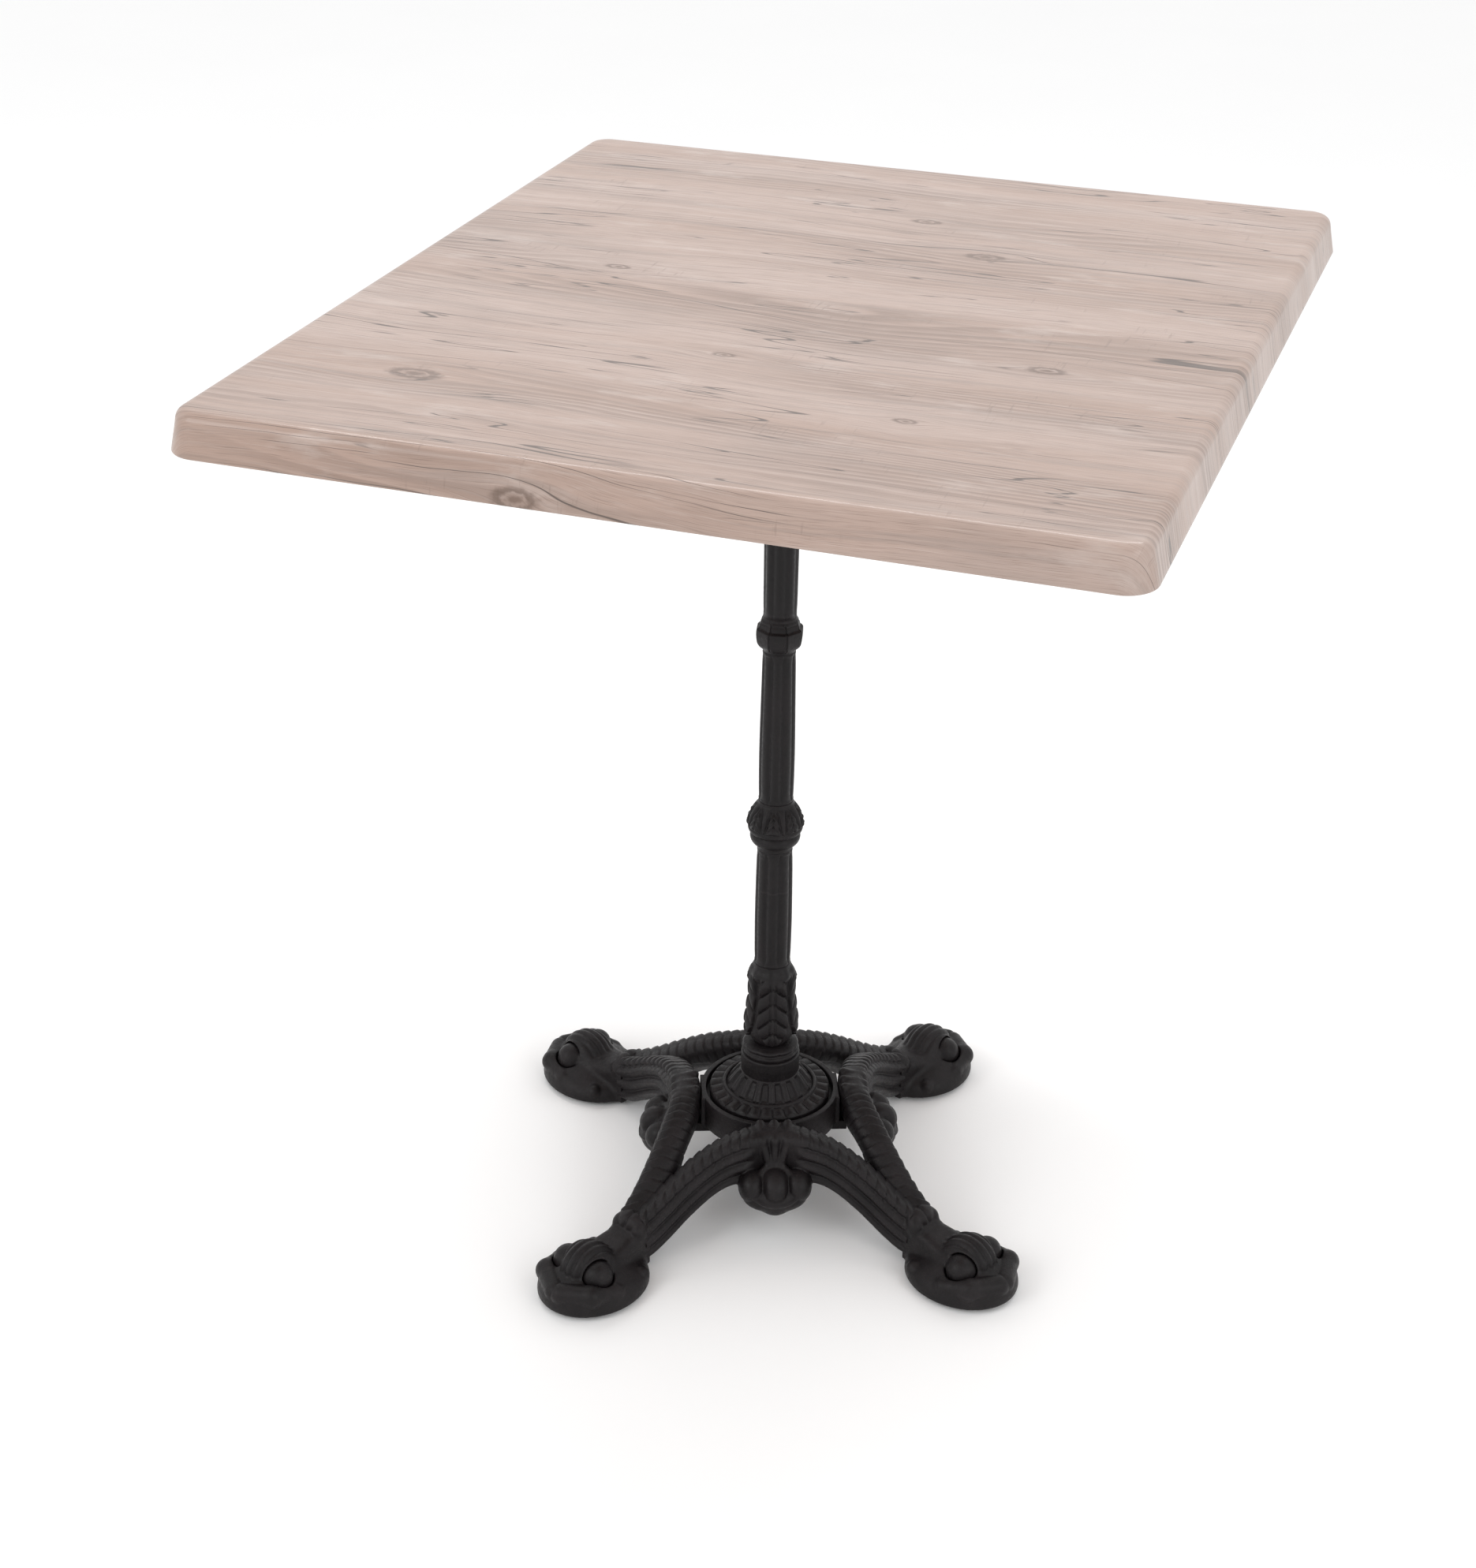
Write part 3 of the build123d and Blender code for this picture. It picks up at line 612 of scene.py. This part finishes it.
def leafy(T, Z, R):
    """Four broad hanging leaves, each of overlapping lobes that fall away from the midrib."""
    d = near(T, 4, 0.0) * R
    t = np.clip((Z - 132.0) / 56.0, 0, 1)
    half = 15.2 * np.sqrt(np.clip(3.4 * t, 0, 1)) * (1 - 0.30 * t)
    inside = np.clip((half - np.abs(d)) / 1.1, 0, 1) * np.clip((190 - Z) / 5, 0, 1) * (Z > 132.2)
    fall = Z + 0.62 * np.abs(d) + 0.018 * d * d
    phase = np.mod((fall - 131.0) / 12.6, 1.0)
    lobe = np.sin(np.pi * phase) ** 0.7 * 1.5 - 1.1 * bump(phase, 0.0, 0.07) - 1.1 * bump(phase, 1.0, 0.07)
    rib = 1.0 * bump(d, 0, 0.9) - 0.5 * bump(np.abs(d), 2.2, 0.7)
    lift = inside * (0.9 + lobe * np.clip(np.abs(d) / 4, 0.5, 1) + rib)
    gap = 1.3 * (1 - inside) * np.clip((189 - Z) / 5, 0, 1)
    neck = 0.5 * np.cos(8 * (T - CREASE)) * np.clip((Z - 184) / 4, 0, 1) * np.clip((198 - Z) / 4, 0, 1)
    return R - 1.2 * np.clip((190 - Z) / 5, 0, 1) + lift - gap * 0.6 - neck, Z


# Outlines from the bottom up, as (height, radius)
TUBE = [(485.0, 11.7), (500.0, 11.9), (540.0, 12.1), (675.0, 12.5)]
HIGH_COLLAR = [(458, 11.7), (460, 12.7), (462, 15.0), (464.5, 16.4), (470, 17.2), (474.5, 17.1),
               (476, 16.6), (479.5, 15.6), (482.5, 12.8), (485, 11.9)]
HIGH_SHAFT = [(337, 12.5), (376, 12.8), (434, 12.0), (458, 11.6)]
MID_COLLAR = [(297, 12.9), (300.5, 13.6), (302, 16.3), (304.5, 18.1), (307.5, 18.7), (309.4, 17.9),
              (310.4, 17.3), (311.4, 18.6), (313, 20.0), (315, 20.4), (316.2, 19.9), (318, 21.1),
              (324, 19.9), (328, 18.2), (332, 15.6), (335, 13.4), (337, 12.8)]
LOW_SHAFT = [(198, 13.3), (236, 13.7), (277, 13.3), (297, 12.8)]
VASE = [(128, 14.8), (130.6, 15.6), (132.2, 17.8), (136, 19.2), (141, 19.8), (147, 19.8), (153, 19.1),
        (162, 18.1), (171, 17.1), (180, 17.2), (186, 17.8), (191, 16.9), (195, 14.8), (198, 13.6)]
NECK = [(118, 20.6), (119.6, 21.8), (121.4, 21.9), (122.6, 20.7), (123.6, 20.6), (125.2, 21.4),
        (126.6, 20.4), (128, 17.0)]
BAND = [(102.0, 22.0), (102.4, 22.4), (110.0, 22.55), (116.8, 22.4), (117.6, 22.0), (118.0, 21.2)]
DISH = [(77.2, 46.2), (84.2, 46.4), (85.4, 45.8), (86.0, 44.8), (87.6, 37.4), (88.0, 36.5), (89.0, 36.1),
        (89.5, 35.4), (89.5, 34.2), (89.0, 33.6), (87.7, 32.9), (88.0, 32.2), (100.6, 23.2), (102.0, 22.6)]

SHAFT_BORE = 9.5
upper_tube = lathe("upper_tube", TUBE, fluted(484.0, 690.0, 0.5), bore=SHAFT_BORE, gap=4.0)
settle(upper_tube, "top_tube", tube_paint, matrix=STAND)
for name, curve, shape, bore, node, around in (
    ("upper_collar", spline(HIGH_COLLAR, 90), faceted, 6.0, "high_collar", 384),
    ("upper_shaft", spline(HIGH_SHAFT), fluted(337.0, 458.0, 1.0), SHAFT_BORE, "high_shaft", 256),
    ("leaf_bulb", spline(MID_COLLAR, 110), middle, 6.0, "mid_collar", 384),
    ("lower_shaft", spline(LOW_SHAFT), fluted(198.0, 297.0, 1.0), SHAFT_BORE, "low_shaft", 256),
    ("acanthus_vase", spline(VASE, 140), leafy, 6.0, "leaf_vase", 384),
    ("bead_ring", spline(NECK, 60), lobed(8, 0.9, 0.7, 118.5, 127.8), 6.0, "neck_ring", 256),
):
    settle(lathe(name, curve, shape, bore, around, 0.5), node, iron_column, matrix=STAND)
settle(lathe("smooth_band", BAND), "plain_band", iron_column, matrix=STAND)
rosette = lathe("reeded_rosette", DISH, dished, gap=0.35, around=448)
settle(rosette, "rosette", iron_foot, matrix=STAND)

# ---------------------------------------------------------------- arches and paws
# Heights of an arch by distance from its middle: upper edge, outer lower edge and inner lower edge
ARCH_TOP = ((0, 90), (20, 88.5), (37, 84.5), (48, 80), (59, 74), (70, 67), (80, 59.5), (94, 49.5),
            (110, 41), (125, 38))
ARCH_LOW = ((0, 46), (24, 47), (37, 45.5), (48, 40), (64, 28), (80, 14), (92, 6), (110, 3.2), (125, 3.2))
ARCH_WEB = ((0, 60), (24, 60), (44, 60), (58, 56), (70, 42), (84, 20), (95, 6), (125, 3.2))
# An arch's outer and inner faces bow outwards: distance from the column at the middle, and at the paws
OUT_START, OUT_BOW, IN_START, IN_BOW, HALF_SPAN, BOW_POWER = 78, 58, 53.4, 49, 120, 1.8


def smooth_line(at, line):
    """A smoothed reading of a broken line of (along, height) points."""
    u, v = np.array(line, float).T
    return (np.interp(at - 4, u, v) + 2 * np.interp(at, u, v) + np.interp(at + 4, u, v)) / 4


def arch_field(x, y, z):
    """Bowed arch: tall ribbed section, leafy upper edge, three-leaved stem and hanging bud."""
    u = np.abs(x)
    w = -y
    t = u / HALF_SPAN
    out = OUT_START + OUT_BOW * t**BOW_POWER
    inn = IN_START + IN_BOW * t**BOW_POWER
    slope = BOW_POWER / HALF_SPAN * t ** (BOW_POWER - 1)
    lean_out = 1 / np.sqrt(1 + (OUT_BOW * slope) ** 2)
    lean_in = 1 / np.sqrt(1 + (IN_BOW * slope) ** 2)
    line = u[:, 0, 0]
    top_line = smooth_line(line, ARCH_TOP)
    heights = (top_line, smooth_line(line, ARCH_LOW), smooth_line(line, ARCH_WEB))
    top, low, web = (v[:, None, None] for v in heights)
    tip = 1 / np.sqrt(1 + np.gradient(top_line, line + np.arange(len(line)) * 1e-9) ** 2)[:, None, None]
    share = (z - low) / (top - low)
    # Three mouldings run along the outer face and one along the inner face
    ends = np.clip((u - 15) / 8, 0, 1)
    ribs = 2.4 * bump(share, 0.13, 0.07) + 2.2 * bump(share, 0.40, 0.075) + 2.4 * bump(share, 0.66, 0.075)
    grooves = 1.5 * (bump(share, 0.26, 0.035) + bump(share, 0.53, 0.035) + bump(share, 0.79, 0.03))
    face_out = (w - out) * lean_out - (ribs - grooves) * ends + 1.2
    face_in = (inn - w) * lean_in - 1.0 * bump(share, 0.18, 0.07) * ends
    # The middle of the arch is set back where the stem hangs
    face_out = face_out + 2.6 * np.exp(-((u / 14.0) ** 4)) * np.clip((z - 52) / 8, 0, 1)
    lid = (z - top) * tip
    # The underside rises from the outer edge towards the column
    underside = low + (web - low) * np.clip((out - 3 - w) / np.maximum(out - inn - 6, 1), 0, 1)
    sill = (underside - z) * 0.75
    d = smax(smax(face_out, face_in, 5.0), smax(lid, sill, 4.0), 9.0)
    # Overlapping leaf scallops along the upper edge, leaning towards the paw
    path = 1.32 * u
    across = (w - inn) / np.maximum(out - inn, 1)
    for side, lean in ((0.0, 9.0), (1.0, -9.0)):
        turn = np.clip(1 - np.abs(across - side) / 0.62, 0, 1)
        drop = np.clip((z - top + 17) / 15, 0, 1)
        phase = (path + lean * (across - side) + 0.55 * (top - z)) / 9.4
        leaf = np.mod(phase, 1.0)
        cut = np.where(leaf < 0.22, 1 - leaf / 0.22, 0) + 0.45 * leaf**2
        d = d + 2.4 * cut * turn * drop * np.clip((u - 14) / 8, 0, 1)
    # Stem: three slim leaves that fan out over the crown and close above the bud
    stem = np.full_like(d, 1e3)
    for side in (-1, 0, 1):
        bar = rod(x, w, z, (side * 10.5, 58, 88.5), (side * 9.5, 73, 83.5), 3.4, 3.6)
        bar = smin(bar, rod(x, w, z, (side * 9.5, 73, 83.5), (side * 4.2, 77.0, 64), 3.6, 2.8), 2.0)
        bar = smin(bar, rod(x, w, z, (side * 4.2, 77.0, 64), (side * 12.0, 82, 58), 2.8, 3.2), 2.0)
        stem = smin(stem, bar, 1.4)
    d = smin(d, stem, 1.6)
    # Bud: three lobes over a rimmed, pointed cup
    lobes = ball(x, w, z, (0, 86.5, 51.0), (12.5, 14.5, 13.5))
    for side in (-1, 1):
        lobes = smin(lobes, ball(x, w, z, (side * 17.5, 84, 50), (10.5, 13.0, 12.5)), 1.2)
    for side in (-1, 1):
        lobes = lobes + 1.6 * np.exp(-(((x - side * 9.0) / 1.6) ** 2)) * np.clip((w - 84) / 6, 0, 1)
    cup = ball(x, w, z, (0, 85.5, 42.0), (24.5, 15.0, 11.5))
    cup = smin(cup, ball(x, w, z, (0, 88, 36), (9.5, 10.5, 7.5)), 4.0)
    cup = smax(cup, 30.2 - z, 2.0)
    rim = np.abs(cup) + np.abs(z - 42.5 - 0.016 * x**2) * 0.9 - 1.7
    bud = smin(smin(lobes, cup, 0.8), rim, 1.0)
    d = smin(d, bud, 2.2)
    # Lug under the hub, with its bolt hole
    lug = np.maximum(np.maximum(np.abs(x) - 15, np.maximum(w - 60, 27.2 - w)), np.maximum(z - 59.9, 52.2 - z))
    lug = np.maximum(lug, 4.4 - np.sqrt(x**2 + (w - 38) ** 2))
    d = smin(d, lug, 1.0)
    # Flat seat on the hub, and the mitre towards the neighbouring arch and the paw
    d = np.maximum(d, np.where(z > 61, 53.5 - w, -1e3))
    d = np.maximum(d, (u - w) / math.sqrt(2) - 0.8)
    return np.maximum(d, (u + w) / math.sqrt(2) - 153.0)


GLIDE_AT = 194.0


def paw_field(x, y, z):
    """Foot: rounded plinth, swept toe lobes, ribbed volute with an eye on each side, scroll and ankle.

    D is the distance out from the column along the paw's own diagonal."""
    side = np.abs(x)
    D = -y
    plan = ball(x, D, 0.0, (0, GLIDE_AT, 0), (38.6, 44.6, 1.0))
    plinth = smax(plan, z - 17.0, 14.0)
    toe = smin(plinth, ball(x, D, z, (0, 200, 9), (33.5, 37.0, 20.5)), 5.0)
    # Swept lobe between the plinth and the eye, and a groove under it
    lobe = rod(side, D, z, (3, 231, 16), (23, 219, 17), 8.0, 8.5)
    lobe = smin(lobe, rod(side, D, z, (23, 219, 17), (29, 200, 13.5), 8.5, 6.5), 2.5)
    lobe = smin(lobe, rod(side, D, z, (29, 200, 13.5), (28, 183, 10), 6.5, 4.0), 2.5)
    d = smin(toe, lobe, 1.0)
    # Volute with ribs running over it
    volute = ball(x, D, z, (0, 201, 23.5), (19.5, 21, 18.5))
    reach = np.sqrt((D - 201) ** 2 + (z - 23.5) ** 2)
    ribs = 1.6 * (np.abs(np.cos(np.pi * x / 6.6)) - 0.55)
    volute = volute - ribs * np.clip((reach - 9) / 6, 0, 1) * np.clip((16 - side) / 4, 0, 1)
    d = smin(d, volute, 1.5)
    # Eye on each side, with a sunk ring round it
    eye_gap = np.sqrt((side - 15.0) ** 2 + (D - 205) ** 2 + (z - 24.0) ** 2)
    ring = np.abs(eye_gap - 11.9) - 0.75
    d = np.where(side > 7, smax(d, -ring, 1.6), d)
    d = smin(d, eye_gap - 11.3, 1.2)
    # Dewclaw knobs
    d = smin(d, np.sqrt((side - 25) ** 2 + (D - 169) ** 2 + (z - 11) ** 2) - 6.2, 1.2)
    d = smin(d, np.sqrt((side - 22.5) ** 2 + (D - 181) ** 2 + (z - 16) ** 2) - 3.6, 0.8)
    # Ankle and the scroll that closes the two arms
    stations = [140, 152, 166, 182, 196]
    top = np.interp(D, stations, [41, 40, 33, 30, 30])
    wide = np.interp(D, stations, [14.5, 14.2, 14.5, 17, 19])
    ankle = smax(smax(side - wide, z - top, 9.0), D - 196, 4.0)
    d = smin(d, ankle, 3.5)
    scroll = ball(x, D, z, (0, 152.5, 36.5), (13.5, 9.5, 9.0))
    scroll = smin(scroll, ball(side, D, z, (9.5, 155, 33), (6.0, 7.5, 8.0)), 1.0)
    scroll = scroll + 1.6 * np.exp(-((x / 1.5) ** 2)) * np.clip((z - 34) / 4, 0, 1)
    d = smin(d, scroll, 1.0)
    d = smax(d, 3.1 - z, 2.5)
    d = np.maximum(d, 148.5 - D)
    # Threaded hole for the glide, and the wider pocket that its pad turns in
    bore = np.sqrt(x**2 + (D - GLIDE_AT) ** 2)
    d = np.maximum(d, np.where(z < 33, 4.05 - bore, -1e3))
    return np.maximum(d, np.where(z < 7.5, 15.5 - bore, -1e3))


# Four arches on the axes and four paws on the diagonals, each set from one mesh
fine = 0.75
arch_mesh = nets(arch_field, (-110, -121, 1.5), (110, -24, 93.5), fine)
paw_mesh = nets(paw_field, (-42, -242, 1.0), (42, -146, 46.5), fine)
for prefix, kind, shared, places in (
    ("bow_", "_arch", arch_mesh, (("front", 0), ("right", 90), ("back", 180), ("left", 270))),
    ("foot_", "_paw", paw_mesh,
     (("front_left", -45), ("front_right", 45), ("back_right", 135), ("back_left", 225))),
):
    for name, angle in places:
        place = STAND @ Matrix.Rotation(math.radians(angle), 4, "Z")
        settle(make_object(prefix + name, *shared), name + kind, iron_foot, matrix=place)

# ---------------------------------------------------------------- finishes of the carried-over nodes
HARDWARE = ("rod_", "tie_", "hub_bolts", "hub_washers", "spider_screws")
for node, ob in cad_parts.items():
    if node.endswith("_glide_pad"):
        finish = glide_nylon
    elif node.endswith("_glide_stem") or node.startswith(HARDWARE):
        finish = zinc_steel
    else:
        finish = iron_foot
    ob.data.materials.clear()
    ob.data.materials.append(finish)

# ---------------------------------------------------------------- studio
# The floor lies just under the glide pads, which stand at height 0
FLOOR_HALF, FLOOR_Z = 14, -0.0002
floor_mesh = bpy.data.meshes.new("studio_floor")
corners = [(x * FLOOR_HALF, y * FLOOR_HALF, FLOOR_Z) for x, y in ((-1, -1), (1, -1), (1, 1), (-1, 1))]
floor_mesh.from_pydata(corners, [], [(0, 1, 2, 3)])
floor = bpy.data.objects.new("studio_floor", floor_mesh)
bpy.context.scene.collection.objects.link(floor)
paper = Nodes("studio_paper")
mottle = paper.noise(paper.coords(), 3.0, 3.0)
paper.link(paper.mix(mottle, rgb(0.955, 0.955, 0.955), rgb(0.975, 0.975, 0.975)), paper.bsdf.inputs["Base Color"])
paper.bsdf.inputs["Roughness"].default_value = 0.9
paper.bsdf.inputs["Specular IOR Level"].default_value = 0.1
floor_mesh.materials.append(paper.material)

world = bpy.data.worlds.new("studio")
bpy.context.scene.world = world
world.use_nodes = True
background = world.node_tree.nodes["Background"]
background.inputs["Color"].default_value = (1, 1, 1, 1)
background.inputs["Strength"].default_value = 0.98


def softbox(name, place, aim, size, power):
    """A rectangular lamp turned towards a point; size in metres, power in watts."""
    lamp = bpy.data.lights.new(name, "AREA")
    lamp.shape = "RECTANGLE"
    lamp.size, lamp.size_y = size
    lamp.energy = power
    ob = bpy.data.objects.new(name, lamp)
    ob.location = place
    ob.rotation_euler = (Vector(aim) - Vector(place)).to_track_quat("-Z", "Y").to_euler()
    bpy.context.scene.collection.objects.link(ob)


softbox("overhead", (-0.1, 0.75, 2.5), (0, -0.3, 0.7), (2.4, 0.32), 20)
softbox("front_left", (-2.0, -2.6, 2.2), (0, -0.3, 0.4), (1.6, 1.6), 26)
softbox("right", (2.6, -1.6, 1.8), (0, -0.2, 0.4), (1.4, 1.4), 14)

# ---------------------------------------------------------------- camera
# Looking down at the table from the front right, level apart from a slight roll
CAMERA_AT = (0.5121, -1.6672, 1.2685)
AZIMUTH, ELEVATION, ROLL = 18.633, 27.849, 0.862
LENS, SENSOR = 61.77, 36
azimuth, elevation, roll = (math.radians(a) for a in (AZIMUTH, ELEVATION, ROLL))
level = math.cos(elevation)
back = Vector((math.sin(azimuth) * level, -math.cos(azimuth) * level, math.sin(elevation)))
flat_right = (-back).cross(Vector((0, 0, 1))).normalized()
flat_up = flat_right.cross(-back)
right = flat_right * math.cos(roll) + flat_up * math.sin(roll)
up = flat_up * math.cos(roll) - flat_right * math.sin(roll)
camera = bpy.data.objects.new("camera", bpy.data.cameras.new("camera"))
bpy.context.scene.collection.objects.link(camera)
turn = Matrix((right, up, back)).transposed().to_4x4()
camera.matrix_world = Matrix.Translation(CAMERA_AT) @ turn
camera.data.lens = LENS
camera.data.sensor_width = SENSOR
camera.data.sensor_fit = "AUTO"
camera.data.clip_end = 60
bpy.context.scene.camera = camera
bpy.context.scene.view_settings.view_transform = "Standard"
